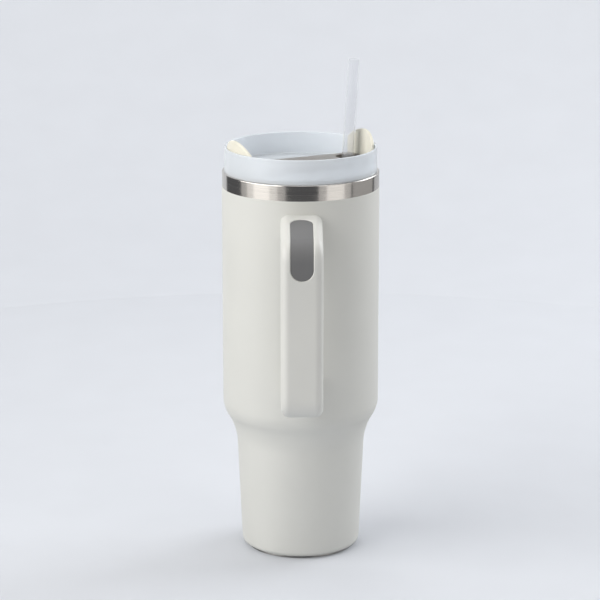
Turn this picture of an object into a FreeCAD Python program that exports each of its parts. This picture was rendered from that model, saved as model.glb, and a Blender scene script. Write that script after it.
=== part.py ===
import FreeCAD, Part
import math
import os
import re

import Sketcher

# Insulated tumbler with a carrying handle, a lid with a rotating cover, and a straw.
# The origin is the centre of the base, +Z is up, and the handle stands towards -Y.
# Lengths are in millimetres and angles in degrees.

SIZES = {
    # How far a cutting shape runs past what it cuts.
    "spare": 1,
    # Vessel: a wide cup on a narrow foot, with a double wall.
    "body_radius": 49.5,
    "foot_radius": 40.94,
    "base_radius": 37.5,
    "shoulder_high": 92.2,
    "shoulder_low": 79.3,
    "shoulder_round": 16,
    "shoulder_hollow": 36,
    "paint_top": 235.7,
    "rim_top": 245.5,
    "rim_round": 0.6,
    "coat": 0.15,
    "shell_wall": 0.5,
    "vacuum_gap": 3.6,
    "liner_wall": 0.5,
    "liner_floor": 8.8,
    "liner_bend": 6,
    # Underside.
    "shell_foot": 1,
    "base_bend": 4,
    "flange_radius": 30,
    "disc_radius": 33.4,
    "cap_radius": 34.6,
    "cap_dish": 0.9,
    "cap_dish_radius": 27,
    "cap_step_radius": 28,
    "cap_foot_inner": 29,
    "cap_foot_back": 29.4,
    "seal_radius": 2,
    "seal_height": 1.4,
    "getter_radius": 4,
    "getter_height": 2,
    "getter_place": 14,
    # Handle: one bow with a channel that an inner cover closes.
    "handle_width": 25.6,
    "handle_depth": 14,
    "handle_reach": 98.5,
    "handle_root": 46,
    "handle_top": 227.2,
    "handle_slope": 8,
    "handle_foot": 110,
    "handle_bend": 13,
    "handle_bend_fall": 0.28,
    "handle_edge": 5,
    "handle_inner_edge": 1.4,
    "handle_skin": 3,
    "channel_width": 18,
    "cover_gap": 0.1,
    "cover_wall": 3,
    "pad_width": 13.8,
    "pad_start": 56,
    "pad_end": 197.7,
    "pad_sunk": 0.35,
    "pad_lip": 0.7,
    "pad_edge": 0.4,
    "pad_floor": 1.9,
    "pad_corner": 6.85,
    "grip_width": 13,
    "grip_low": 139,
    "grip_high": 199,
    "grip_proud": 0.5,
    "grip_sunk": 1.5,
    "grip_corner": 6.45,
    # Brackets on the shell, and the screws that hold the handle to them.
    "bracket_half": 8,
    "bracket_wall": 1.2,
    "bracket_height": 7,
    "tongue_half": 6,
    "tongue_end": 66,
    "tongue_wall": 3,
    "tongue_round": 2,
    "upper_bracket_low": 216.6,
    "upper_tongue_low": 216.9,
    "lower_bracket_low": 113.5,
    "lower_tongue_low": 115,
    "screw_place": 59,
    "screw_radius": 1.9,
    "screw_hole": 2.2,
    "screw_length": 8.6,
    "head_radius": 3.4,
    "head_height": 1.6,
    "head_hole": 3.6,
    "upper_head_top": 213.3,
    "lower_head_low": 122.4,
    "socket_radius": 1.4,
    "socket_depth": 1,
    # Lid: a ring wall round a sunk deck, and a plug that goes into the mouth.
    "lid_radius": 48,
    "lid_inner": 46.7,
    "lid_crest": 261,
    "lid_lip": 0.6,
    "lid_foot_round": 0.3,
    "deck_top": 247.1,
    "deck_wall": 2.2,
    "deck_round": 1,
    "plug_radius": 44,
    "plug_inner": 42.4,
    "plug_foot": 231,
    "groove_low": 234.5,
    "groove_high": 239.5,
    "groove_radius": 43.3,
    "fin_root": 43.8,
    "fin_radius": 44.6,
    "fin_edge": 0.6,
    "sip_place": 32,
    "sip_radius": 6.5,
    "gasket_radius": 7,
    "gasket_wall": 1,
    # Rotating cover: a strip across the lid with two upturned ears.
    "cover_angle": 26,
    "cover_half": 16.75,
    "cover_under": 247.4,
    "cover_top": 250,
    "ear_radius": 46.3,
    "ear_wall": 1.9,
    "ear_top": 267.8,
    "ear_arch": 23,
    "ear_edge": 0.7,
    "hub_radius": 4,
    "hub_hole": 4.06,
    "hub_low": 244.5,
    "hub_bore": 1.5,
    "hub_bore_depth": 4,
    "washer_radius": 6.5,
    "washer_wall": 1,
    "pivot_head_radius": 3,
    "pivot_head_height": 1.8,
    "sip_pad_radius": 9.4,
    "sip_pad_low": 247.25,
    "sip_pad_wall": 1.35,
    "notch_radius": 7.2,
    "notch_place": 36.2,
    "notch_angle": 8.9,
    "slot_near": 32.2,
    "slot_far": 41.4,
    # Straw: it stands loose in a hole in the deck, and leans outwards.
    "straw_radius": 3.8,
    "straw_bore": 3,
    "straw_lean": 3.2,
    "straw_across": 30.2,
    "straw_back": 21,
    "straw_level": 250,
    "straw_low": 14,
    "straw_high": 312,
    "straw_hole": 5.4,
}

TINY = 1e-6
TOUCH = 1e-4
NODES = [
    "outer_shell", "rim_band", "inner_liner", "liner_base",
    "outer_base", "base_cap", "vacuum_seal", "getter",
    "upper_bracket", "lower_bracket", "handle_shell", "handle_inner", "thumb_pad", "finger_grip",
    "handle_screws",
    "lid_body", "lid_seal", "pivot_gasket",
    "rotating_cover", "sip_seal", "pivot_washer", "pivot_screw",
    "straw",
]

doc = FreeCAD.newDocument("tumbler")
sheet = doc.addObject("Spreadsheet::Sheet", "dims")
gauge = doc.addObject("App::FeaturePython", "gauge")
gauge.addProperty("App::PropertyFloat", "Length")


def fill_sheet():
    for row, (name, size) in enumerate(SIZES.items(), start=1):
        sheet.set(f"A{row}", name)
        sheet.set(f"B{row}", str(size))
        sheet.setAlias(f"B{row}", name)
    doc.recompute()


def bound(words):
    """The expression with the sheet's name put before each of its aliases."""
    return re.sub(r"[a-z_]+", lambda found: f"dims.{found[0]}" if found[0] in SIZES else found[0], words)


def number(words):
    """The length that a property takes when it is bound to the expression."""
    gauge.setExpression("Length", bound(words))
    gauge.recompute()
    return gauge.Length


# ---- sketches ----

def new_body(name):
    body = doc.addObject("PartDesign::Body", name)
    body.Label = name
    return body


def new_sketch(body, name, role, offset=None):
    """A sketch on one of the body's own origin planes, moved along the plane's normal by the offset."""
    sketch = body.newObject("Sketcher::SketchObject", name)
    plane = next(feature for feature in body.Origin.OriginFeatures if feature.Role == role)
    sketch.AttachmentSupport = [(plane, "")]
    sketch.MapMode = "FlatFace"
    if offset:
        sketch.setExpression("AttachmentOffset.Base.z", bound(offset))
    return sketch


def tie(sketch, kind, place, words):
    """A dimension that follows the sheet."""
    index = sketch.addConstraint(Sketcher.Constraint(kind, *place, number(words)))
    sketch.setExpression(f"Constraints[{index}]", bound(words))


def tie_point(sketch, place, across, up):
    for kind, words, axis in (("DistanceX", across, -2), ("DistanceY", up, -1)):
        if words == "0":
            sketch.addConstraint(Sketcher.Constraint("PointOnObject", *place, axis))
        else:
            tie(sketch, kind, place, words)


def rounding(before, corner, after, radius):
    """The arc that rounds a corner, its two ends, and whether it is drawn onwards, from before to after."""
    back = (before - corner).normalize()
    ahead = (after - corner).normalize()
    half = back.getAngle(ahead) / 2
    start = corner + back * (radius / math.tan(half))
    end = corner + ahead * (radius / math.tan(half))
    centre = corner + (back + ahead).normalize() * (radius / math.sin(half))
    leftwards = back.cross(ahead).z < 0
    first, last = (start, end) if leftwards else (end, start)
    angles = [math.atan2(spot.y - centre.y, spot.x - centre.x) for spot in (first, last)]
    circle = Part.Circle(centre, FreeCAD.Vector(0, 0, 1), radius)
    return Part.ArcOfCircle(circle, *angles), start, end, leftwards


def outline(sketch, corners):
    """A closed outline. A corner is (across, up), or (across, up, radius) where it is rounded."""
    spots = [FreeCAD.Vector(number(corner[0]), number(corner[1]), 0) for corner in corners]
    count = len(corners)
    arcs = {}
    for index, corner in enumerate(corners):
        if len(corner) == 3:
            after = spots[(index + 1) % count]
            arcs[index] = rounding(spots[index - 1], spots[index], after, number(corner[2]))
    lines = []
    for index in range(count):
        after = (index + 1) % count
        start = arcs[index][2] if index in arcs else spots[index]
        end = arcs[after][1] if after in arcs else spots[after]
        lines.append(sketch.addGeometry(Part.LineSegment(start, end)))
    for index, corner in enumerate(corners):
        before, after = lines[index - 1], lines[index]
        if index not in arcs:
            sketch.addConstraint(Sketcher.Constraint("Coincident", before, 2, after, 1))
            tie_point(sketch, (after, 1), corner[0], corner[1])
            continue
        arc, _, _, leftwards = arcs[index]
        bend = sketch.addGeometry(arc)
        start, end = (1, 2) if leftwards else (2, 1)
        sketch.addConstraint(Sketcher.Constraint("Tangent", before, 2, bend, start))
        sketch.addConstraint(Sketcher.Constraint("Tangent", bend, end, after, 1))
        tie(sketch, "Radius", (bend,), corner[2])
        mark = sketch.addGeometry(Part.Point(spots[index]), True)
        sketch.addConstraint(Sketcher.Constraint("PointOnObject", mark, 1, before))
        sketch.addConstraint(Sketcher.Constraint("PointOnObject", mark, 1, after))
        tie_point(sketch, (mark, 1), corner[0], corner[1])


def circle(sketch, across, up, radius):
    centre = FreeCAD.Vector(number(across), number(up), 0)
    ring = sketch.addGeometry(Part.Circle(centre, FreeCAD.Vector(0, 0, 1), number(radius)))
    tie_point(sketch, (ring, 3), across, up)
    tie(sketch, "Radius", (ring,), radius)


# ---- features ----

def turned(name, corners):
    """A body of one outline in the XZ plane, turned round Z."""
    body = new_body(name)
    sketch = new_sketch(body, f"{name}_profile", "XZ_Plane")
    outline(sketch, corners)
    feature = body.newObject("PartDesign::Revolution", f"{name}_turned")
    feature.Profile = sketch
    feature.ReferenceAxis = (sketch, ["V_Axis"])
    feature.Angle = 360
    doc.recompute()
    return body


def extrude(body, kind, sketch, length, symmetric=False, reverse=False):
    feature = body.newObject(f"PartDesign::{kind}", f"{sketch.Name}_{kind.lower()}")
    feature.Profile = sketch
    feature.setExpression("Length", bound(length))
    feature.SideType = "Symmetric" if symmetric else "One side"
    feature.Reversed = reverse
    doc.recompute()
    return feature


def pad(body, sketch, length, **options):
    return extrude(body, "Pad", sketch, length, **options)


def pocket(body, sketch, length, **options):
    """A pocket that must take something away."""
    whole = body.Shape.Volume
    feature = extrude(body, "Pocket", sketch, length, **options)
    if body.Shape.Volume > whole - TINY:
        raise RuntimeError(f"{sketch.Name} cuts nothing")
    return feature


def fillet(body, radius, wanted):
    """Rounds the edges of the body's last feature for which wanted is true."""
    base = body.Tip
    names = [f"Edge{index}" for index, edge in enumerate(base.Shape.Edges, start=1) if wanted(edge)]
    if not names:
        raise RuntimeError(f"{body.Name} has no edge to round")
    feature = body.newObject("PartDesign::Fillet", f"{base.Name}_round")
    feature.Base = (base, names)
    feature.setExpression("Radius", bound(radius))
    doc.recompute()


def solid(kind, name, **sizes):
    """A Part primitive whose sizes follow the sheet."""
    piece = doc.addObject(f"Part::{kind}", name)
    piece.Label = name
    for size, words in sizes.items():
        piece.setExpression(size, bound(words))
    return piece


def place(piece, across="0", back="0", up="0"):
    for axis, words in zip("xyz", (across, back, up)):
        piece.setExpression(f"Placement.Base.{axis}", bound(words))
    return piece


def combine(kind, name, base, tool):
    piece = doc.addObject(f"Part::{kind}", name)
    piece.Label = name
    piece.Base = base
    piece.Tool = tool
    return piece


# ---- vessel ----

HALF_TURN = "tan(atan((body_radius - foot_radius) / (shoulder_high - shoulder_low)) / 2)"


def wall_line(inset, top, floor, bend):
    """The wall's line at a depth below the outer face, from the top down to the corner of the foot."""
    return [
        (f"body_radius - {inset}", top),
        (f"body_radius - {inset}", f"shoulder_high + {inset} * {HALF_TURN}", f"shoulder_round - {inset}"),
        (f"foot_radius - {inset}", f"shoulder_low + {inset} * {HALF_TURN}", f"shoulder_hollow + {inset}"),
        (f"base_radius - {inset}", floor, bend),
    ]


def outer_shell():
    outside = wall_line("0", "paint_top", "shell_foot", "base_bend")
    inside = wall_line("shell_wall", "paint_top", "shell_foot + shell_wall", "base_bend - shell_wall")
    flange = [("flange_radius", "shell_foot"), ("flange_radius", "shell_foot + shell_wall")]
    turned("outer_shell", outside + flange + inside[::-1])


def rim_band():
    """The bare steel band that joins the outer shell to the liner at the mouth."""
    turned("rim_band", [
        ("body_radius - coat", "paint_top"),
        ("body_radius - coat", "rim_top", "rim_round"),
        ("body_radius - shell_wall - vacuum_gap", "rim_top"),
        ("body_radius - shell_wall - vacuum_gap", "rim_top - shell_wall"),
        ("body_radius - coat - shell_wall", "rim_top - shell_wall"),
        ("body_radius - coat - shell_wall", "paint_top"),
    ])


def inner_liner():
    depth = "(shell_wall + vacuum_gap)"
    face = "(shell_wall + vacuum_gap + liner_wall)"
    outside = wall_line(depth, "rim_top", "liner_floor - liner_wall", "liner_bend + liner_wall")
    inside = wall_line(face, "rim_top", "liner_floor", "liner_bend")
    hole = f"base_radius - {face} - liner_bend"
    floor = [(hole, "liner_floor - liner_wall"), (hole, "liner_floor")]
    turned("inner_liner", outside + floor + inside[::-1])


def liner_base():
    hole = "base_radius - shell_wall - vacuum_gap - liner_wall - liner_bend"
    place(solid("Cylinder", "liner_base", Radius=hole, Height="liner_wall"), up="liner_floor - liner_wall")


def underside():
    """The disc that closes the vacuum, its seal and getter, and the cap that the vessel stands on."""
    disc_low = "shell_foot + shell_wall"
    disc = place(solid("Cylinder", "disc", Radius="disc_radius", Height="shell_wall"), up=disc_low)
    hole = place(solid("Cylinder", "seal_hole", Radius="seal_radius", Height="shell_wall"), up=disc_low)
    combine("Cut", "outer_base", disc, hole)
    place(solid("Cylinder", "vacuum_seal", Radius="seal_radius", Height="seal_height"), up=disc_low)
    getter = solid("Cylinder", "getter", Radius="getter_radius", Height="getter_height")
    place(getter, across="getter_place", up=f"{disc_low} + shell_wall")
    turned("base_cap", [
        ("0", "cap_dish"),
        ("cap_dish_radius", "cap_dish"),
        ("cap_foot_inner", "0"),
        ("cap_radius", "0", "cap_dish / 2"),
        ("cap_radius", "shell_foot"),
        ("cap_foot_back", "shell_foot"),
        ("cap_step_radius", "cap_dish + shell_wall"),
        ("0", "cap_dish + shell_wall"),
    ])


# ---- handle ----

ROOT_TOP = "handle_top + (body_radius - handle_root) * tan(handle_slope)"


def bow_line(depth):
    """The handle's line at a depth below its outer face, from its upper root to its lower root."""
    bend = f"handle_bend - {depth} * handle_bend_fall"
    top = f"{ROOT_TOP} - {depth} / cos(handle_slope)"
    front = f"-(handle_reach - {depth})"
    fall = f"(handle_reach - {depth} - handle_root) * tan(handle_slope)"
    return [
        ("-handle_root", top),
        (front, f"{top} - {fall}", bend),
        (front, f"handle_foot + {depth}", bend),
        ("-handle_root", f"handle_foot + {depth}"),
    ]


def pad_line(depth):
    """The thumb pad's line: along the upper arm, round the bend and down the front."""
    start, corner = bow_line(depth)[:2]
    drop = "(pad_start - handle_root) * tan(handle_slope)"
    return [("-pad_start", f"{start[1]} - {drop}"), corner, (corner[0], "pad_end")]


def bow(name, near, far, width, line=bow_line):
    """A body between two depths of the handle, as wide as stated."""
    body = new_body(name)
    sketch = new_sketch(body, f"{name}_side", "YZ_Plane")
    outline(sketch, line(near) + line(far)[::-1])
    pad(body, sketch, width, symmetric=True)
    return body


def trim_to_vessel(body):
    """Cuts the roots back to the vessel's outer face."""
    sketch = new_sketch(body, f"{body.Name}_saddle", "XY_Plane", "handle_foot - spare")
    circle(sketch, "0", "0", "body_radius")
    pocket(body, sketch, "handle_top - handle_foot + 4 * spare", reverse=True)


def along_path(edge, width, front):
    """True for the upright edge of a bow at the stated front and side."""
    middle = edge.CenterOfMass
    upright = abs(edge.tangentAt(edge.FirstParameter).z) > 1 - TINY
    return upright and abs(abs(middle.x) - width / 2) < TINY and abs(middle.y + front) < TINY


def pill_ends(body, width):
    """Rounds a strip's four corner edges, which lie square to its face at its two ends."""
    start, end = number("pad_start"), number("pad_end")

    def at_an_end(edge):
        middle = edge.CenterOfMass
        at_side = abs(abs(middle.x) - number(width) / 2) < TINY and abs(edge.tangentAt(0).x) < TINY
        return at_side and (abs(middle.y + start) < TINY or abs(middle.z - end) < TINY)

    fillet(body, "pad_corner", at_an_end)


def shared_edges(piece, outside, tool):
    """The numbers of the edges along which a tool has broken through a piece's outside."""
    found = []
    for index, edge in enumerate(piece.Shape.Edges, start=1):
        middle = Part.Vertex(edge.valueAt((edge.FirstParameter + edge.LastParameter) / 2))
        gaps = [middle.distToShape(other.Shape.Shells[0])[0] for other in (outside, tool)]
        if max(gaps) < TOUCH:
            found.append(index)
    return found


def handle_shell():
    core = bow("handle_core", "0", "handle_depth", "handle_width")
    width, reach, depth = number("handle_width"), number("handle_reach"), number("handle_depth")
    fillet(core, "handle_edge", lambda edge: along_path(edge, width, reach))
    fillet(core, "handle_inner_edge", lambda edge: along_path(edge, width, reach - depth))
    channel = new_sketch(core, "handle_channel", "YZ_Plane")
    outline(channel, bow_line("handle_skin") + bow_line("(handle_depth + spare)")[::-1])
    pocket(core, channel, "channel_width", symmetric=True)
    trim_to_vessel(core)
    recess = bow("pad_recess", "(-spare)", "pad_floor", "pad_width", pad_line)
    pill_ends(recess, "pad_width")
    blank = combine("Cut", "handle_blank", core, recess)
    doc.recompute()
    shell = doc.addObject("Part::Fillet", "handle_shell")
    shell.Label = "handle_shell"
    shell.Base = blank
    lip = number("pad_lip")
    shell.Edges = [(index, lip, lip) for index in shared_edges(blank, core, recess)]


def thumb_pad():
    """A soft pill that lies in the recess, with its outer edge rounded."""
    body = bow("thumb_pad", "pad_sunk", "pad_floor", "pad_width", pad_line)
    pill_ends(body, "pad_width")
    level = bow("pad_level", "(-spare)", "pad_sunk", "pad_width", pad_line)
    outer = level.Shape.Shells[0]
    thick = number("pad_floor - pad_sunk")

    def outside(edge):
        middle = Part.Vertex(edge.valueAt((edge.FirstParameter + edge.LastParameter) / 2))
        return edge.Length > thick + TOUCH and middle.distToShape(outer)[0] < TOUCH

    fillet(body, "pad_edge", outside)


def grip_block(name, near, far):
    """A pill on the upright of the bow, between two depths."""
    body = new_body(name)
    sketch = new_sketch(body, f"{name}_side", "YZ_Plane")
    front, back = f"-(handle_reach - ({near}))", f"-(handle_reach - ({far}))"
    outline(sketch, [(front, "grip_low"), (back, "grip_low"), (back, "grip_high"), (front, "grip_high")])
    pad(body, sketch, "grip_width", symmetric=True)
    fillet(body, "grip_corner", lambda edge: abs(edge.tangentAt(0).y) > 1 - TINY)
    return body


def handle_inner():
    """The cover of the channel, with a seat for the finger grip and holes for the screws."""
    width = "channel_width - 2 * cover_gap"
    cover = bow("channel_cover", "(handle_depth - cover_wall)", "handle_depth", width)
    trim_to_vessel(cover)
    holes = new_sketch(cover, "screw_holes", "XY_Plane", "handle_foot")
    circle(holes, "0", "-screw_place", "screw_hole")
    pocket(cover, holes, "handle_top - handle_foot", reverse=True)
    heads = new_sketch(cover, "head_holes", "XY_Plane", "lower_head_low")
    circle(heads, "0", "-screw_place", "head_hole")
    pocket(cover, heads, "upper_head_top - lower_head_low", reverse=True)
    seat = grip_block("grip_seat", "handle_depth - grip_sunk", "handle_depth + spare")
    combine("Cut", "handle_inner", cover, seat)
    grip_block("finger_grip", "handle_depth - grip_sunk", "handle_depth + grip_proud")


def bracket(name, low, tongue_low):
    """A curved foot welded to the shell, with a tongue that runs out into the handle's channel."""
    body = new_body(name)
    foot = new_sketch(body, f"{name}_foot", "XY_Plane", low)
    circle(foot, "0", "0", "body_radius + bracket_wall")
    circle(foot, "0", "0", "body_radius")
    pad(body, foot, "bracket_height")
    sides = new_sketch(body, f"{name}_sides", "XY_Plane", low)
    half, edge = "bracket_half", "body_radius + 2 * bracket_wall"
    outline(sides, [
        (f"-{half}", "0"), (f"-{half}", f"-({edge})"), (f"-({edge})", f"-({edge})"), (f"-({edge})", edge),
        (edge, edge), (edge, f"-({edge})"), (half, f"-({edge})"), (half, "0"),
    ])
    pocket(body, sides, "bracket_height", reverse=True)
    tongue = new_sketch(body, f"{name}_tongue", "XY_Plane", tongue_low)
    root = "-(body_radius + bracket_wall / 2)"
    outline(tongue, [
        ("-tongue_half", root),
        ("-tongue_half", "-tongue_end", "tongue_round"),
        ("tongue_half", "-tongue_end", "tongue_round"),
        ("tongue_half", root),
    ])
    circle(tongue, "0", "-screw_place", "screw_radius")
    pad(body, tongue, "tongue_wall")


def handle_screws():
    """Two screws, from inside the bow into the tongues."""
    screws = []
    for name, seat, way in (("upper_screw", "upper_head_top", 1), ("lower_screw", "lower_head_low", -1)):
        body = new_body(name)
        head = new_sketch(body, f"{name}_head", "XY_Plane", seat)
        circle(head, "0", "-screw_place", "head_radius")
        circle(head, "0", "-screw_place", "socket_radius")
        pad(body, head, "head_height", reverse=way > 0)
        floor = new_sketch(body, f"{name}_floor", "XY_Plane", seat)
        circle(floor, "0", "-screw_place", "head_radius")
        pad(body, floor, "head_height - socket_depth", reverse=way > 0)
        shank = new_sketch(body, f"{name}_shank", "XY_Plane", seat)
        circle(shank, "0", "-screw_place", "screw_radius")
        pad(body, shank, "screw_length", reverse=way < 0)
        screws.append(body)
    group = doc.addObject("Part::Compound", "handle_screws")
    group.Label = "handle_screws"
    group.Links = screws


# ---- lid ----

SIP_ACROSS = "-sip_place * cos(cover_angle)"
SIP_BACK = "-sip_place * sin(cover_angle)"
HOLE_ACROSS = "straw_across - (straw_level - deck_top) * tan(straw_lean)"


def lid_body():
    body = turned("lid_body", [
        ("0", "deck_top"),
        ("lid_inner", "deck_top", "deck_round"),
        ("lid_inner", "lid_crest", "lid_lip"),
        ("lid_radius", "lid_crest", "lid_lip"),
        ("lid_radius", "rim_top", "lid_foot_round"),
        ("plug_radius", "rim_top"),
        ("plug_radius", "groove_high"),
        ("groove_radius", "groove_high"),
        ("groove_radius", "groove_low"),
        ("plug_radius", "groove_low"),
        ("plug_radius", "plug_foot"),
        ("plug_inner", "plug_foot"),
        ("plug_inner", "deck_top - deck_wall"),
        ("0", "deck_top - deck_wall"),
    ])
    holes = new_sketch(body, "deck_holes", "XY_Plane", "deck_top")
    circle(holes, "0", "0", "hub_hole")
    circle(holes, SIP_ACROSS, SIP_BACK, "sip_radius")
    circle(holes, HOLE_ACROSS, "straw_back", "straw_hole")
    pocket(body, holes, "deck_wall")
    gasket_seat = new_sketch(body, "gasket_seat", "XY_Plane", "deck_top")
    circle(gasket_seat, "0", "0", "gasket_radius")
    pocket(body, gasket_seat, "gasket_wall")


def lid_seal():
    """A silicone ring in the plug's groove, with two fins towards the liner."""
    fins = [("groove_radius", "groove_low"), ("fin_root", "groove_low")]
    for share in ("1 / 4", "3 / 4"):
        middle = f"groove_low + (groove_high - groove_low) * {share}"
        fins += [
            ("fin_root", f"{middle} - fin_edge"),
            ("fin_radius", f"{middle} - fin_edge / 2"),
            ("fin_radius", f"{middle} + fin_edge / 2"),
            ("fin_root", f"{middle} + fin_edge"),
        ]
    turned("lid_seal", fins + [("fin_root", "groove_high"), ("groove_radius", "groove_high")])


def pivot_gasket():
    low = "deck_top - gasket_wall"
    ring = place(solid("Cylinder", "gasket_ring", Radius="gasket_radius", Height="gasket_wall"), up=low)
    bore = place(solid("Cylinder", "gasket_bore", Radius="hub_hole", Height="gasket_wall"), up=low)
    combine("Cut", "pivot_gasket", ring, bore)


def along_straw(piece):
    """Stands a piece on the straw's foot, along its leaning axis."""
    piece.Placement = FreeCAD.Placement(FreeCAD.Vector(), FreeCAD.Rotation(FreeCAD.Vector(0, 1, 0), 1))
    piece.setExpression("Placement.Rotation.Angle", bound("straw_lean"))
    place(piece, "straw_across - (straw_level - straw_low) * tan(straw_lean)", "straw_back", "straw_low")
    return piece


def straw():
    body = new_body("straw")
    sketch = new_sketch(body, "straw_section", "XY_Plane")
    circle(sketch, "0", "0", "straw_radius")
    circle(sketch, "0", "0", "straw_bore")
    pad(body, sketch, "(straw_high - straw_low) / cos(straw_lean)")
    along_straw(body)


# ---- rotating cover ----

def in_cover_frame(piece):
    """Turns a piece that is drawn with the strip along X to the strip's own direction."""
    piece.Placement = FreeCAD.Placement(FreeCAD.Vector(), FreeCAD.Rotation(FreeCAD.Vector(0, 0, 1), 1))
    piece.setExpression("Placement.Rotation.Angle", bound("cover_angle"))
    return piece


def rotating_cover():
    body = new_body("rotating_cover")
    disc = new_sketch(body, "cover_disc", "XY_Plane", "cover_under")
    circle(disc, "0", "0", "ear_radius")
    pad(body, disc, "ear_top - cover_under")
    well = new_sketch(body, "cover_well", "XY_Plane", "cover_top")
    circle(well, "0", "0", "ear_radius - ear_wall")
    pocket(body, well, "ear_top - cover_top", reverse=True)
    sides = new_sketch(body, "cover_sides", "XY_Plane", "cover_under")
    for way in ("1", "-1"):
        near, far = f"{way} * cover_half", f"{way} * ear_radius"
        ends = ("-ear_radius", "ear_radius")
        outline(sides, [(ends[0], near), (ends[1], near), (ends[1], far), (ends[0], far)])
    pocket(body, sides, "ear_top - cover_under", reverse=True)
    arch = new_sketch(body, "ear_arches", "YZ_Plane")
    side, foot, crest = "(ear_radius + spare)", "(ear_top - 2 * ear_arch - spare)", "ear_top + spare"
    outline(arch, [(f"-{side}", foot), (f"-{side}", crest), (side, crest), (side, foot)])
    circle(arch, "0", "ear_top - ear_arch", "ear_arch")
    pocket(body, arch, "2 * ear_radius", symmetric=True)
    ear_foot = number("cover_top") + TOUCH
    fillet(body, "ear_edge", lambda edge: edge.CenterOfMass.z > ear_foot)
    hub = new_sketch(body, "cover_hub", "XY_Plane", "cover_under")
    circle(hub, "0", "0", "hub_radius")
    pad(body, hub, "cover_under - hub_low", reverse=True)
    bore = new_sketch(body, "hub_bore_mouth", "XY_Plane", "hub_low")
    circle(bore, "0", "0", "hub_bore")
    pocket(body, bore, "hub_bore_depth", reverse=True)
    pad_seat = new_sketch(body, "sip_pad_seat", "XY_Plane", "cover_under")
    circle(pad_seat, "-sip_place", "0", "sip_pad_radius")
    pocket(body, pad_seat, "sip_pad_low + sip_pad_wall - cover_under", reverse=True)
    notch = new_sketch(body, "straw_notch", "XY_Plane", "cover_under")
    circle(notch, "notch_place * cos(notch_angle)", "notch_place * sin(notch_angle)", "notch_radius")
    pocket(body, notch, "cover_top - cover_under", reverse=True)
    straw_slot(body)
    in_cover_frame(body)


def straw_slot(body):
    """The slot along which the straw passes out of the strip's front edge when the cover turns."""
    slot = new_sketch(body, "straw_slot", "XY_Plane", "cover_under")
    side = "-(cover_half + spare)"
    edges = []
    for radius in ("slot_near", "slot_far"):
        mouth = (f"sqrt({radius} ^ 2 - ({side}) ^ 2)", side)
        head = (f"{radius} * cos(notch_angle)", f"{radius} * sin(notch_angle)")
        angles = [math.atan2(number(spot[1]), number(spot[0])) for spot in (mouth, head)]
        ring = Part.Circle(FreeCAD.Vector(), FreeCAD.Vector(0, 0, 1), number(radius))
        edges.append(slot.addGeometry(Part.ArcOfCircle(ring, *angles)))
        slot.addConstraint(Sketcher.Constraint("Coincident", edges[-1], 3, -1, 1))
        tie(slot, "Radius", (edges[-1],), radius)
        tie(slot, "DistanceY", (edges[-1], 1), mouth[1])
        tie(slot, "DistanceY", (edges[-1], 2), head[1])
    for corner in (1, 2):
        spots = [slot.getPoint(edge, corner) for edge in edges]
        end = slot.addGeometry(Part.LineSegment(*spots))
        slot.addConstraint(Sketcher.Constraint("Coincident", edges[0], corner, end, 1))
        slot.addConstraint(Sketcher.Constraint("Coincident", edges[1], corner, end, 2))
    pocket(body, slot, "cover_top - cover_under", reverse=True)


def cover_fittings():
    """The silicone pad over the sip hole, and the washer and screw that hold the cover's hub."""
    seal = solid("Cylinder", "sip_seal", Radius="sip_pad_radius", Height="sip_pad_wall")
    place(seal, SIP_ACROSS, SIP_BACK, "sip_pad_low")
    low = "hub_low - washer_wall"
    ring = place(solid("Cylinder", "washer_ring", Radius="washer_radius", Height="washer_wall"), up=low)
    hole = place(solid("Cylinder", "washer_hole", Radius="hub_bore", Height="washer_wall"), up=low)
    combine("Cut", "pivot_washer", ring, hole)
    shank = solid("Cylinder", "pivot_shank", Radius="hub_bore", Height="washer_wall + hub_bore_depth")
    head = solid("Cylinder", "pivot_head", Radius="pivot_head_radius", Height="pivot_head_height")
    socket = solid("Cylinder", "pivot_socket", Radius="socket_radius", Height="socket_depth")
    place(shank, up=low)
    place(head, up=f"{low} - pivot_head_height")
    place(socket, up=f"{low} - pivot_head_height")
    combine("Cut", "pivot_screw", combine("Fuse", "pivot_blank", head, shank), socket)


# ---- output ----

def check_and_write():
    doc.recompute()
    for piece in doc.Objects:
        if {"Invalid", "Error"} & set(piece.State):
            raise RuntimeError(f"{piece.Name}: {piece.State}")
    shapes = {}
    for name in NODES:
        piece = doc.getObjectsByLabel(name)[0]
        shape = piece.Shape
        if shape.isNull() or not shape.isValid() or not shape.Solids:
            raise RuntimeError(f"{name} has no valid solid")
        shapes[name] = shape
    os.makedirs("parts", exist_ok=True)
    for name, shape in shapes.items():
        shape.exportStep(f"parts/{name}.step")
        box = shape.BoundBox
        print(f"{name}: {len(shape.Solids)} solids, {shape.Volume:.0f} mm3, "
              f"{box.XLength:.1f} x {box.YLength:.1f} x {box.ZLength:.1f} mm")


def main():
    fill_sheet()
    outer_shell()
    rim_band()
    inner_liner()
    liner_base()
    underside()
    handle_shell()
    handle_inner()
    thumb_pad()
    bracket("upper_bracket", "upper_bracket_low", "upper_tongue_low")
    bracket("lower_bracket", "lower_bracket_low", "lower_tongue_low")
    handle_screws()
    lid_body()
    lid_seal()
    pivot_gasket()
    straw()
    rotating_cover()
    cover_fittings()
    check_and_write()


main()
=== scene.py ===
import math

import bmesh
import bpy
from mathutils import Matrix, Vector


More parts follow.
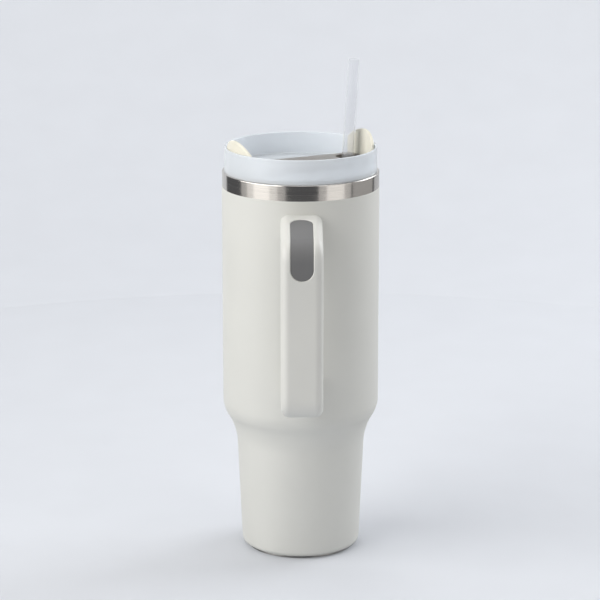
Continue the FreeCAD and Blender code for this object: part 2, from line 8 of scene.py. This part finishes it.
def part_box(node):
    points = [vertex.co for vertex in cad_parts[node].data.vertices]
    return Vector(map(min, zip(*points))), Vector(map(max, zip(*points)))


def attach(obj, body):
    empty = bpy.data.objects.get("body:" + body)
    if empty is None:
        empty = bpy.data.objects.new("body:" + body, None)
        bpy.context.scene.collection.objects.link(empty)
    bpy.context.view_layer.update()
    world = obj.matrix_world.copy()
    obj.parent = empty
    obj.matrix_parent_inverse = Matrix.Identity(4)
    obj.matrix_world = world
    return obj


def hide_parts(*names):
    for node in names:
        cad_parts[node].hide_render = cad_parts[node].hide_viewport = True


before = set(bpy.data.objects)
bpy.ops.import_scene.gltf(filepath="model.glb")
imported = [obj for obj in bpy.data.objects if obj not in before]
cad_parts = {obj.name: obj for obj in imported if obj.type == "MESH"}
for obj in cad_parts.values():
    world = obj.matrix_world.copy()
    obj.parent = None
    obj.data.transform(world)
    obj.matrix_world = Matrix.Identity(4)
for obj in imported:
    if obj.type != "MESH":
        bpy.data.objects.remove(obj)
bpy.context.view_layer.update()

MM = 0.001
AXIS = (0, 0, 1)
ROUND_STEPS = 8
SPIN_STEPS = 192
SMALL_STEPS = 64
SHARP_ANGLE = math.radians(38)


# ---- places, from the frame ----

def low(node, axis):
    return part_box(node)[0][axis]


def high(node, axis):
    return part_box(node)[1][axis]


def middle(node):
    """The middle of a node as seen from above."""
    return tuple((low(node, axis) + high(node, axis)) / 2 for axis in (0, 1))


# Radii are rounded, because the facets of the CAD mesh fall a little short of a true circle.
BODY_RADIUS = round(high("outer_shell", 0), 4)
PAINT_TOP = high("outer_shell", 2)
PAINT_FOOT = low("outer_shell", 2)
RIM_TOP = high("rim_band", 2)
LINER_FLOOR = high("liner_base", 2)
CAP_TOP = high("base_cap", 2)
CAP_RADIUS = round(high("base_cap", 0), 4)
LID_RADIUS = round(high("lid_body", 0), 4)
LID_CREST = high("lid_body", 2)
PLUG_FOOT = low("lid_body", 2)
DECK_TOP = high("pivot_gasket", 2)
SIP_PLACE = middle("sip_seal")

# Vessel.
FOOT_RADIUS = 40.94 * MM
BASE_RADIUS = 37.5 * MM
SHOULDER_HIGH = 92.2 * MM
SHOULDER_LOW = 79.3 * MM
SHOULDER_ROUND = 16 * MM
SHOULDER_HOLLOW = 36 * MM
BASE_BEND = 4 * MM
SHEET = 0.5 * MM
FLANGE_RADIUS = 30 * MM
COAT = 0.15 * MM
VACUUM = 3.6 * MM
LINER_BEND = 6 * MM
LIP_ROUND = 0.6 * MM

# Foot cap.
CAP_STEP = 0.25 * MM
CAP_SLOPE = 0.6 * MM
CAP_STEP_INNER = 11 * MM
CAP_STEP_OUTER = 19 * MM
CAP_DISH_RADIUS = 27 * MM
CAP_DISH_BEND = 0.6 * MM
CAP_FOOT_INNER = 29 * MM
CAP_FOOT_BACK = 29.4 * MM
CAP_FOOT_BEND = 0.8 * MM
CAP_TOP_RADIUS = 28 * MM
CAP_EDGE_ROUND = 0.45 * MM

# Lid.
LID_WALL = 1.3 * MM
LID_LIP = 0.6 * MM
LID_FOOT_ROUND = 0.3 * MM
DECK_WALL = 2.2 * MM
DECK_EDGE = 42.2 * MM
PLUG_RADIUS = 44 * MM
PLUG_INNER = 42.4 * MM
GROOVE_LOW = low("lid_seal", 2)
GROOVE_HIGH = high("lid_seal", 2)
GROOVE_RADIUS = 43.3 * MM
HUB_HOLE = 4.06 * MM
GASKET_RADIUS = 7 * MM
GASKET_WALL = 1 * MM
SIP_RADIUS = 6.5 * MM
COVER_TOP = 250 * MM

# Straw.
STRAW_RADIUS = 3.8 * MM
STRAW_BORE = 3 * MM
STRAW_END_ROUND = 0.35 * MM
STRAW_LEAN = math.radians(3.2)
STRAW_LOW = 14 * MM
STRAW_HIGH = 312 * MM
STRAW_LENGTH = (STRAW_HIGH - STRAW_LOW) / math.cos(STRAW_LEAN)
STRAW_ACROSS = 30.2 * MM
STRAW_BACK = 21 * MM
STRAW_HOLE = 5.4 * MM


def straw_place(level):
    """Where the straw's axis crosses a level."""
    return STRAW_ACROSS - (COVER_TOP - level) * math.tan(STRAW_LEAN), STRAW_BACK


# ---- mesh helpers ----

def finished(name, bm, body, material, replaced, sharp=SHARP_ANGLE):
    """Turns a bmesh into a piece that rides on a body and stands for a CAD node."""
    bmesh.ops.remove_doubles(bm, verts=bm.verts, dist=0.000001)
    bmesh.ops.recalc_face_normals(bm, faces=bm.faces)
    mesh = bpy.data.meshes.new(name)
    bm.to_mesh(mesh)
    bm.free()
    mesh.shade_smooth()
    mesh.set_sharp_from_angle(angle=sharp)
    piece = bpy.data.objects.new(name, mesh)
    bpy.context.scene.collection.objects.link(piece)
    mesh.materials.append(material)
    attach(piece, body)
    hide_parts(*replaced)
    return piece


def rounded_outline(bm, corners, closed):
    """A wire in the XZ plane. A corner is (across, up) or (across, up, radius)."""
    spots = [Vector((corner[0], 0, corner[1])) for corner in corners]
    verts = [bm.verts.new(spot) for spot in spots]
    pairs = list(zip(verts, verts[1:]))
    if closed:
        pairs.append((verts[-1], verts[0]))
    for pair in pairs:
        bm.edges.new(pair)
    for index, corner in enumerate(corners):
        if len(corner) < 3:
            continue
        back = (spots[index - 1] - spots[index]).normalized()
        ahead = (spots[(index + 1) % len(spots)] - spots[index]).normalized()
        reach = corner[2] / math.tan(back.angle(ahead) / 2)
        bmesh.ops.bevel(bm, geom=[verts[index]], offset=reach, offset_type="OFFSET", segments=ROUND_STEPS,
                        profile=0.5, affect="VERTICES", material=-1)


def spun(bm, corners, closed=True, steps=SPIN_STEPS, centre=(0, 0)):
    """Turns an outline once round an upright axis."""
    blank = bmesh.new()
    rounded_outline(blank, corners, closed)
    bmesh.ops.spin(blank, geom=blank.verts[:] + blank.edges[:], cent=(0, 0, 0), axis=AXIS, angle=math.tau,
                   steps=steps, use_merge=True, use_duplicate=False)
    bmesh.ops.translate(blank, verts=blank.verts, vec=(*centre, 0))
    join(bm, blank)


def join(bm, other):
    """Adds one bmesh to another."""
    mesh = bpy.data.meshes.new("joined")
    other.to_mesh(mesh)
    other.free()
    bm.from_mesh(mesh)
    bpy.data.meshes.remove(mesh)


# ---- vessel ----

def wall_line(inset, top, floor, bend):
    """The wall's line at a depth below the outer face, from the top down to the corner of the foot."""
    turn = math.tan(math.atan((BODY_RADIUS - FOOT_RADIUS) / (SHOULDER_HIGH - SHOULDER_LOW)) / 2)
    return [
        (BODY_RADIUS - inset, top),
        (BODY_RADIUS - inset, SHOULDER_HIGH + inset * turn, SHOULDER_ROUND - inset),
        (FOOT_RADIUS - inset, SHOULDER_LOW + inset * turn, SHOULDER_HOLLOW + inset),
        (BASE_RADIUS - inset, floor, bend),
    ]


def painted_shell():
    outside = wall_line(0, PAINT_TOP, PAINT_FOOT, BASE_BEND)
    outside[0] = (*outside[0], COAT)
    inside = wall_line(SHEET, PAINT_TOP, PAINT_FOOT + SHEET, BASE_BEND - SHEET)
    flange = [(FLANGE_RADIUS, PAINT_FOOT), (FLANGE_RADIUS, PAINT_FOOT + SHEET)]
    bm = bmesh.new()
    spun(bm, outside + flange + inside[::-1])
    finished("painted_shell", bm, "vessel", CREAM_PAINT, ["outer_shell"])


def steel_band():
    """The bare band, rolled over at the mouth."""
    face, inner = BODY_RADIUS - COAT, BODY_RADIUS - SHEET - VACUUM
    bm = bmesh.new()
    spun(bm, [
        (face, PAINT_TOP),
        (face, RIM_TOP, LIP_ROUND),
        (inner, RIM_TOP),
        (inner, RIM_TOP - SHEET),
        (face - SHEET, RIM_TOP - SHEET),
        (face - SHEET, PAINT_TOP),
    ])
    finished("steel_band", bm, "vessel", BAND_STEEL, ["rim_band"])


def steel_liner():
    """The liner and its closing disc, drawn as one cup."""
    depth = SHEET + VACUUM
    outside = wall_line(depth, RIM_TOP, LINER_FLOOR - SHEET, LINER_BEND + SHEET)
    inside = wall_line(depth + SHEET, RIM_TOP, LINER_FLOOR, LINER_BEND)
    bm = bmesh.new()
    spun(bm, outside + [(0, LINER_FLOOR - SHEET)], closed=False)
    spun(bm, inside + [(0, LINER_FLOOR)], closed=False)
    spun(bm, [inside[0], outside[0]], closed=False)
    finished("steel_liner", bm, "vessel", LINER_STEEL, ["inner_liner", "liner_base"])


def foot_cap():
    """The spun cap: a ring to stand on round a dished centre with two turned steps."""
    dish = CAP_TOP - SHEET
    bm = bmesh.new()
    spun(bm, [
        (0, dish),
        (CAP_STEP_INNER, dish),
        (CAP_STEP_INNER + CAP_SLOPE, dish - CAP_STEP, CAP_STEP),
        (CAP_STEP_OUTER, dish - CAP_STEP, CAP_STEP),
        (CAP_STEP_OUTER + CAP_SLOPE, dish, CAP_STEP),
        (CAP_DISH_RADIUS, dish, CAP_DISH_BEND),
        (CAP_FOOT_INNER, 0, CAP_FOOT_BEND),
        (CAP_RADIUS, 0, CAP_EDGE_ROUND),
        (CAP_RADIUS, PAINT_FOOT),
        (CAP_FOOT_BACK, PAINT_FOOT),
        (CAP_TOP_RADIUS, CAP_TOP),
        (0, CAP_TOP),
    ], closed=False)
    finished("foot_cap", bm, "vessel", CAP_STEEL, ["base_cap"])


# ---- lid ----

def deck_face(bm, level, holes):
    """A flat face across the deck, with its holes left open."""
    blank = bmesh.new()
    for across, back, radius, steps in [(0, 0, DECK_EDGE, SPIN_STEPS), *holes]:
        place = Matrix.Translation((across, back, level))
        bmesh.ops.create_circle(blank, radius=radius, segments=steps, matrix=place)
    bmesh.ops.triangle_fill(blank, use_beauty=True, edges=blank.edges[:])
    join(bm, blank)


def lid_moulding():
    """A ring wall round a sunk deck, and a plug below it with a groove for its seal."""
    deck_low = DECK_TOP - DECK_WALL
    inner = LID_RADIUS - LID_WALL
    bm = bmesh.new()
    spun(bm, [
        (DECK_EDGE, DECK_TOP),
        (inner, DECK_TOP, 1 * MM),
        (inner, LID_CREST, LID_LIP),
        (LID_RADIUS, LID_CREST, LID_LIP),
        (LID_RADIUS, RIM_TOP, LID_FOOT_ROUND),
        (PLUG_RADIUS, RIM_TOP, 0.2 * MM),
        (PLUG_RADIUS, GROOVE_HIGH),
        (GROOVE_RADIUS, GROOVE_HIGH),
        (GROOVE_RADIUS, GROOVE_LOW),
        (PLUG_RADIUS, GROOVE_LOW),
        (PLUG_RADIUS, PLUG_FOOT, 0.4 * MM),
        (PLUG_INNER, PLUG_FOOT, 0.4 * MM),
        (PLUG_INNER, deck_low),
        (DECK_EDGE, deck_low),
    ], closed=False)
    holes = [
        ((0, 0), GASKET_RADIUS, HUB_HOLE, GASKET_WALL),
        (SIP_PLACE, SIP_RADIUS, SIP_RADIUS, DECK_WALL / 2),
        (straw_place(DECK_TOP), STRAW_HOLE, STRAW_HOLE, DECK_WALL / 2),
    ]
    for centre, seat, hole, depth in holes:
        ledge = DECK_TOP - depth
        step = [(seat, DECK_TOP), (seat, ledge), (hole, ledge), (hole, deck_low)]
        spun(bm, step, False, SMALL_STEPS, centre)
    deck_face(bm, DECK_TOP, [(*centre, seat, SMALL_STEPS) for centre, seat, _, _ in holes])
    deck_face(bm, deck_low, [(*centre, hole, SMALL_STEPS) for centre, _, hole, _ in holes])
    finished("lid_moulding", bm, "lid", CLEAR_LID, ["lid_body"])


def drinking_straw():
    """A tube with softened ends, stood on its leaning axis."""
    bm = bmesh.new()
    spun(bm, [
        (STRAW_BORE, 0, STRAW_END_ROUND),
        (STRAW_RADIUS, 0, STRAW_END_ROUND),
        (STRAW_RADIUS, STRAW_LENGTH, STRAW_END_ROUND),
        (STRAW_BORE, STRAW_LENGTH, STRAW_END_ROUND),
    ], steps=SMALL_STEPS)
    bmesh.ops.rotate(bm, verts=bm.verts, cent=(0, 0, 0), matrix=Matrix.Rotation(STRAW_LEAN, 3, "Y"))
    bmesh.ops.translate(bm, verts=bm.verts, vec=(*straw_place(STRAW_LOW), STRAW_LOW))
    finished("drinking_straw", bm, "straw", CLEAR_STRAW, ["straw"])


# ---- materials ----

def new_material(name, colour, roughness, metallic=0.0, coat=0.0):
    """A material with its plain values set on the shader's own sockets."""
    material = bpy.data.materials.new(name)
    material.use_nodes = True
    shader = material.node_tree.nodes["Principled BSDF"]
    shader.inputs["Base Color"].default_value = (*colour, 1)
    shader.inputs["Roughness"].default_value = roughness
    shader.inputs["Metallic"].default_value = metallic
    shader.inputs["Coat Weight"].default_value = coat
    return material, material.node_tree, shader


def group_socket(group, name, kind, inside, value=None):
    way = "INPUT" if inside else "OUTPUT"
    socket = group.interface.new_socket(name, in_out=way, socket_type=f"NodeSocket{kind}")
    if value is not None:
        socket.default_value = value


def math_node(nodes, kind, operation):
    node = nodes.new(kind)
    node.operation = operation
    return node


def effect_group(name, pitch, per_metre, tint_change, roughness, roughness_change):
    """A group with the inputs and outputs that every surface effect has."""
    group = bpy.data.node_groups.new(name, "ShaderNodeTree")
    for socket, kind, value in (("Colour", "Color", (1, 1, 1, 1)), (pitch, "Float", per_metre),
                                ("Tint change", "Float", tint_change), ("Roughness", "Float", roughness),
                                ("Roughness change", "Float", roughness_change)):
        group_socket(group, socket, kind, True, value)
    for socket, kind in (("Colour", "Color"), ("Roughness", "Float"), ("Height", "Float")):
        group_socket(group, socket, kind, False)
    return group, group.nodes.new("NodeGroupInput"), group.nodes.new("ShaderNodeTexCoord")


def finish_effect(group, given, variation, relief):
    """Varies the given colour and roughness by one pattern, and puts out another as a height."""
    nodes, links = group.nodes, group.links
    out = nodes.new("NodeGroupOutput")
    shift = nodes.new("ShaderNodeMapRange")
    shift.inputs["From Min"].default_value = 0.3
    shift.inputs["From Max"].default_value = 0.7
    shift.inputs["To Min"].default_value = -1
    shift.inputs["To Max"].default_value = 1
    links.new(variation, shift.inputs["Value"])
    tint = math_node(nodes, "ShaderNodeMath", "MULTIPLY_ADD")
    tint.inputs[2].default_value = 1
    links.new(shift.outputs["Result"], tint.inputs[0])
    links.new(given.outputs["Tint change"], tint.inputs[1])
    shade = math_node(nodes, "ShaderNodeVectorMath", "SCALE")
    links.new(given.outputs["Colour"], shade.inputs[0])
    links.new(tint.outputs["Value"], shade.inputs["Scale"])
    rough = math_node(nodes, "ShaderNodeMath", "MULTIPLY_ADD")
    links.new(shift.outputs["Result"], rough.inputs[0])
    links.new(given.outputs["Roughness change"], rough.inputs[1])
    links.new(given.outputs["Roughness"], rough.inputs[2])
    links.new(shade.outputs["Vector"], out.inputs["Colour"])
    links.new(rough.outputs["Value"], out.inputs["Roughness"])
    links.new(relief, out.inputs["Height"])


def grain_group():
    """Fine grain all over: a colour that varies a little, a roughness and a height."""
    group, given, place = effect_group("moulded_grain", "Grain per metre", 2000, 0.03, 0.4, 0.06)
    nodes, links = group.nodes, group.links
    fine = nodes.new("ShaderNodeTexNoise")
    fine.inputs["Detail"].default_value = 3
    links.new(place.outputs["Object"], fine.inputs["Vector"])
    links.new(given.outputs["Grain per metre"], fine.inputs["Scale"])
    broad = nodes.new("ShaderNodeTexNoise")
    broad.inputs["Scale"].default_value = 26
    broad.inputs["Detail"].default_value = 4
    links.new(place.outputs["Object"], broad.inputs["Vector"])
    finish_effect(group, given, broad.outputs["Fac"], fine.outputs["Fac"])
    return group


def brushing_group():
    """Lines that run round the vertical axis, as left by brushing a piece while it turns."""
    group, given, place = effect_group("turned_brushing", "Lines per metre", 3500, 0.1, 0.25, 0.1)
    nodes, links = group.nodes, group.links
    split = nodes.new("ShaderNodeSeparateXYZ")
    links.new(place.outputs["Object"], split.inputs["Vector"])
    flat = nodes.new("ShaderNodeCombineXYZ")
    links.new(split.outputs["X"], flat.inputs["X"])
    links.new(split.outputs["Y"], flat.inputs["Y"])
    away = math_node(nodes, "ShaderNodeVectorMath", "LENGTH")
    links.new(flat.outputs["Vector"], away.inputs[0])
    level = math_node(nodes, "ShaderNodeMath", "ADD")
    links.new(split.outputs["Z"], level.inputs[0])
    links.new(away.outputs["Value"], level.inputs[1])
    tall = math_node(nodes, "ShaderNodeMath", "MULTIPLY")
    links.new(level.outputs["Value"], tall.inputs[0])
    links.new(given.outputs["Lines per metre"], tall.inputs[1])
    round_about = math_node(nodes, "ShaderNodeVectorMath", "SCALE")
    round_about.inputs["Scale"].default_value = 30
    links.new(flat.outputs["Vector"], round_about.inputs[0])
    lift = nodes.new("ShaderNodeCombineXYZ")
    links.new(tall.outputs["Value"], lift.inputs["Z"])
    stretched = math_node(nodes, "ShaderNodeVectorMath", "ADD")
    links.new(round_about.outputs["Vector"], stretched.inputs[0])
    links.new(lift.outputs["Vector"], stretched.inputs[1])
    noise = nodes.new("ShaderNodeTexNoise")
    noise.inputs["Scale"].default_value = 1
    noise.inputs["Detail"].default_value = 4
    noise.inputs["Roughness"].default_value = 0.7
    links.new(stretched.outputs["Vector"], noise.inputs["Vector"])
    finish_effect(group, given, noise.outputs["Fac"], noise.outputs["Fac"])
    return group


GRAIN = grain_group()
BRUSHING = brushing_group()


def surfaced(name, group, settings, colour, roughness, height=0.0, strength=0.3, metallic=0.0, coat=0.0):
    """A material whose colour, roughness and, with a height, fine relief come from a shared effect."""
    material, tree, shader = new_material(name, colour, roughness, metallic, coat)
    effect = tree.nodes.new("ShaderNodeGroup")
    effect.node_tree = group
    effect.inputs["Colour"].default_value = (*colour, 1)
    effect.inputs["Roughness"].default_value = roughness
    for socket, value in settings.items():
        effect.inputs[socket].default_value = value
    tree.links.new(effect.outputs["Colour"], shader.inputs["Base Color"])
    tree.links.new(effect.outputs["Roughness"], shader.inputs["Roughness"])
    if height:
        bump = tree.nodes.new("ShaderNodeBump")
        bump.inputs["Strength"].default_value = strength
        bump.inputs["Distance"].default_value = height
        tree.links.new(effect.outputs["Height"], bump.inputs["Height"])
        tree.links.new(bump.outputs["Normal"], shader.inputs["Normal"])
    return material


def clear_plastic(name, colour, roughness, transmission, bend):
    """A see-through plastic. It has no relief, which would show as cracks where light passes through."""
    material = surfaced(name, GRAIN, {"Tint change": 0.015, "Roughness change": roughness / 8},
                        colour, roughness)
    shader = material.node_tree.nodes["Principled BSDF"]
    shader.inputs["Transmission Weight"].default_value = transmission
    shader.inputs["IOR"].default_value = bend
    return material


def cover_with_strip_shade(name, strip_shade_colour, ear_colour):
    """The cover's moulding: cream on the ears, and on the strip below them a dark taupe that is painted
    shade, standing in for the shade the strip lies in down inside the lid's ring.
    """
    material = surfaced(name, GRAIN, {"Grain per metre": 3000, "Tint change": 0.012}, ear_colour, 0.34,
                        0.00002, 0.2)
    tree = material.node_tree
    effect = next(node for node in tree.nodes if node.type == "GROUP")
    place = tree.nodes.new("ShaderNodeTexCoord")
    split = tree.nodes.new("ShaderNodeSeparateXYZ")
    # Below the foot of the ears the colour is the strip's painted shade; above it, the ears' own cream.
    rise = tree.nodes.new("ShaderNodeMapRange")
    rise.inputs["From Min"].default_value = COVER_TOP + 0.1 * MM
    rise.inputs["From Max"].default_value = COVER_TOP + 0.9 * MM
    blend = tree.nodes.new("ShaderNodeMix")
    blend.data_type = "RGBA"
    blend.inputs["A"].default_value = (*strip_shade_colour, 1)
    blend.inputs["B"].default_value = (*ear_colour, 1)
    tree.links.new(place.outputs["Object"], split.inputs["Vector"])
    tree.links.new(split.outputs["Z"], rise.inputs["Value"])
    tree.links.new(rise.outputs["Result"], blend.inputs["Factor"])
    tree.links.new(blend.outputs["Result"], effect.inputs["Colour"])
    return material


CREAM_PAINT = surfaced("cream_powder_coat", GRAIN, {"Grain per metre": 2600, "Tint change": 0.012},
                       (0.66, 0.66, 0.625), 0.46, 0.00004, 0.35)
CREAM_PLASTIC = surfaced("cream_moulding", GRAIN, {"Grain per metre": 3400, "Tint change": 0.012},
                         (0.67, 0.668, 0.635), 0.42, 0.00003, 0.25)
# The dark taupe of the cover's strip is painted shade: the cream strip sits in shadow inside the ring.
COVER_WITH_STRIP_SHADE = cover_with_strip_shade("cover_moulding_strip_shade", (0.23, 0.21, 0.19), (0.80, 0.77, 0.66))
GREY_RUBBER = surfaced("soft_grey_rubber", GRAIN, {"Grain per metre": 2400, "Tint change": 0.05},
                       (0.165, 0.165, 0.167), 0.62, 0.00006, 0.5)
SILICONE = surfaced("white_silicone", GRAIN, {"Grain per metre": 1800, "Tint change": 0.02},
                    (0.75, 0.75, 0.73), 0.55, 0.00003, 0.3)
BAND_STEEL = surfaced("brushed_band", BRUSHING, {}, (0.66, 0.635, 0.605), 0.14, 0.00002, 0.2, metallic=1.0)
LINER_STEEL = surfaced("brushed_liner", BRUSHING, {"Lines per metre": 1800}, (0.6, 0.6, 0.6), 0.28,
                       0.00002, 0.3, metallic=1.0)
CAP_STEEL = surfaced("spun_cap", BRUSHING, {"Lines per metre": 1400}, (0.55, 0.54, 0.53), 0.3,
                     0.00003, 0.3, metallic=1.0)
SCREW_STEEL = surfaced("plated_screws", GRAIN, {"Grain per metre": 1500, "Tint change": 0.05},
                       (0.55, 0.55, 0.56), 0.3, 0.00002, 0.2, metallic=1.0)
CLEAR_LID = clear_plastic("frosted_lid", (0.92, 0.96, 1.0), 0.2, 0.38, 1.3)
CLEAR_STRAW = clear_plastic("clear_straw", (0.97, 0.975, 0.985), 0.02, 0.88, 1.05)

CARRIED = {
    "outer_base": LINER_STEEL, "vacuum_seal": SCREW_STEEL, "getter": SCREW_STEEL,
    "upper_bracket": SCREW_STEEL, "lower_bracket": SCREW_STEEL, "handle_screws": SCREW_STEEL,
    "handle_shell": CREAM_PLASTIC, "handle_inner": CREAM_PLASTIC, "thumb_pad": GREY_RUBBER,
    "finger_grip": GREY_RUBBER, "lid_seal": SILICONE, "pivot_gasket": SILICONE, "sip_seal": SILICONE,
    "rotating_cover": COVER_WITH_STRIP_SHADE, "pivot_washer": CREAM_PLASTIC, "pivot_screw": SCREW_STEEL,
}


def finish_carried_nodes():
    for name, material in CARRIED.items():
        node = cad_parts[name]
        node.data.materials.clear()
        node.data.materials.append(material)


# ---- stage ----

FLOOR_RADIUS = 0.65
SWEEP_RADIUS = 0.8
WALL_RADIUS = FLOOR_RADIUS + SWEEP_RADIUS
WALL_HEIGHT = 4.0


def one_sided(material):
    """Makes a sheet clear from its back, so that the stage hides the object from no side."""
    tree = material.node_tree
    side = tree.nodes.new("ShaderNodeNewGeometry")
    clear = tree.nodes.new("ShaderNodeBsdfTransparent")
    mix = tree.nodes.new("ShaderNodeMixShader")
    tree.links.new(side.outputs["Backfacing"], mix.inputs[0])
    tree.links.new(tree.nodes["Principled BSDF"].outputs["BSDF"], mix.inputs[1])
    tree.links.new(clear.outputs["BSDF"], mix.inputs[2])
    tree.links.new(mix.outputs["Shader"], tree.nodes["Material Output"].inputs["Surface"])
    return material


def stage_sheet(name, corners, material):
    """A turned sheet whose clear side is away from the object."""
    bm = bmesh.new()
    spun(bm, corners, closed=False)
    bmesh.ops.remove_doubles(bm, verts=bm.verts, dist=0.000001)
    bmesh.ops.recalc_face_normals(bm, faces=bm.faces)
    lowest = min(bm.faces, key=lambda face: face.calc_center_median().z)
    if lowest.normal.z < 0:
        bmesh.ops.reverse_faces(bm, faces=bm.faces)
    mesh = bpy.data.meshes.new(name)
    bm.to_mesh(mesh)
    bm.free()
    mesh.shade_smooth()
    sheet = bpy.data.objects.new(name, mesh)
    bpy.context.scene.collection.objects.link(sheet)
    mesh.materials.append(material)
    sheet.visible_glossy = False
    return sheet


def add_stage():
    """A pale floor inside a pale wall. The wall is only looked at: it lights and shades nothing."""
    pale = one_sided(surfaced("pale_stage", GRAIN, {"Grain per metre": 60, "Tint change": 0.01},
                              (0.66, 0.68, 0.72), 0.7, 0.0001, 0.1))
    stage_sheet("studio_floor", [(0, 0), (FLOOR_RADIUS, 0)], pale)
    wall = stage_sheet("studio_wall", [(FLOOR_RADIUS, 0), (WALL_RADIUS, 0, SWEEP_RADIUS),
                                       (WALL_RADIUS, WALL_HEIGHT)], pale)
    wall.visible_diffuse = False
    wall.visible_shadow = False


# Upright soft panels round the object: name, from and to (degrees round the axis from the camera's side, to
# the right), foot, head, brightness, layers and colour. A panel of several layers fades towards its sides.
WARM = (1, 0.98, 0.95)
COOL = (0.95, 0.97, 1)
PANELS = [
    ("key_high", -100, -28, 0.35, 1.9, 10.5, 1, (1, 0.99, 0.97)),
    ("key_low", -96, -22, -0.6, 0.34, 4, 3, WARM),
    ("fill_high", 25, 85, 0.35, 1.5, 3, 1, WARM),
    ("fill_low", 25, 77, -0.6, 0.34, 3, 2, WARM),
    ("side_high", 100, 140, 0.35, 1.5, 13, 1, COOL),
    ("side_low", 80, 128, -0.6, 0.9, 1, 1, WARM),
    ("rim_right", 134, 166, -0.9, 1.5, 1.5, 1, COOL),
    ("back_glow", 167, 223, -0.9, 1.4, 2, 1, COOL),
]
PANEL_DISTANCE = 1.5
LAYER_STEP = 12
LAYER_GAP = 0.03
TOP_LIGHT = 6
TOP_PLACE = (0, 0.2, 1.7)
TOP_SIZE = (1.5, 1.5)
AIR = 0.11


def add_soft_light(name, place, aim, size, brightness, colour):
    """A rectangle of light. Its power is its brightness times its area."""
    light = bpy.data.lights.new(name, "AREA")
    light.shape = "RECTANGLE"
    light.size, light.size_y = size
    light.energy = brightness * size[0] * size[1]
    light.color = colour
    lamp = bpy.data.objects.new(name, light)
    bpy.context.scene.collection.objects.link(lamp)
    lamp.location = place
    lamp.rotation_euler = (Vector(aim) - Vector(place)).to_track_quat("-Z", "Y").to_euler()
    lamp.visible_camera = False


def add_lights():
    for name, start, end, foot, head, brightness, layers, colour in PANELS:
        heading = math.radians((start + end) / 2)
        level = (foot + head) / 2
        for layer in range(layers):
            half = math.radians((end - start) / 2 - LAYER_STEP * layer)
            distance = PANEL_DISTANCE - LAYER_GAP * layer
            place = (distance * math.sin(heading), -distance * math.cos(heading), level)
            size = (2 * distance * math.tan(half), head - foot)
            add_soft_light(f"{name}_{layer}", place, (0, 0, level), size, brightness / layers, colour)
    add_soft_light("top_soft", TOP_PLACE, (0, 0, 0), TOP_SIZE, TOP_LIGHT, (1, 1, 1))
    world = bpy.data.worlds.new("studio_air")
    bpy.context.scene.world = world
    world.use_nodes = True
    air = world.node_tree.nodes["Background"]
    air.inputs["Color"].default_value = (0.93, 0.95, 1, 1)
    air.inputs["Strength"].default_value = AIR


CAMERA_DISTANCE = 1.590
CAMERA_HEIGHT = 0.572
CAMERA_TILT = math.radians(14.49)
CAMERA_SWING = math.radians(0.5)
CAMERA_ASIDE = -0.4 * MM


def add_camera():
    """A little above the lid, looking down at the handle's side."""
    camera = bpy.data.cameras.new("camera")
    camera.lens = 155.04
    camera.sensor_width = 36
    camera.clip_end = 20
    view = bpy.data.objects.new("camera", camera)
    bpy.context.scene.collection.objects.link(view)
    back, side = CAMERA_DISTANCE * math.cos(CAMERA_SWING), CAMERA_DISTANCE * math.sin(CAMERA_SWING)
    view.location = (CAMERA_ASIDE - side, -back, CAMERA_HEIGHT)
    view.rotation_euler = (math.pi / 2 - CAMERA_TILT, 0, -CAMERA_SWING)
    bpy.context.scene.camera = view
    bpy.context.scene.view_settings.view_transform = "Standard"


add_stage()
add_lights()
add_camera()
finish_carried_nodes()
painted_shell()
steel_band()
steel_liner()
foot_cap()
lid_moulding()
drinking_straw()
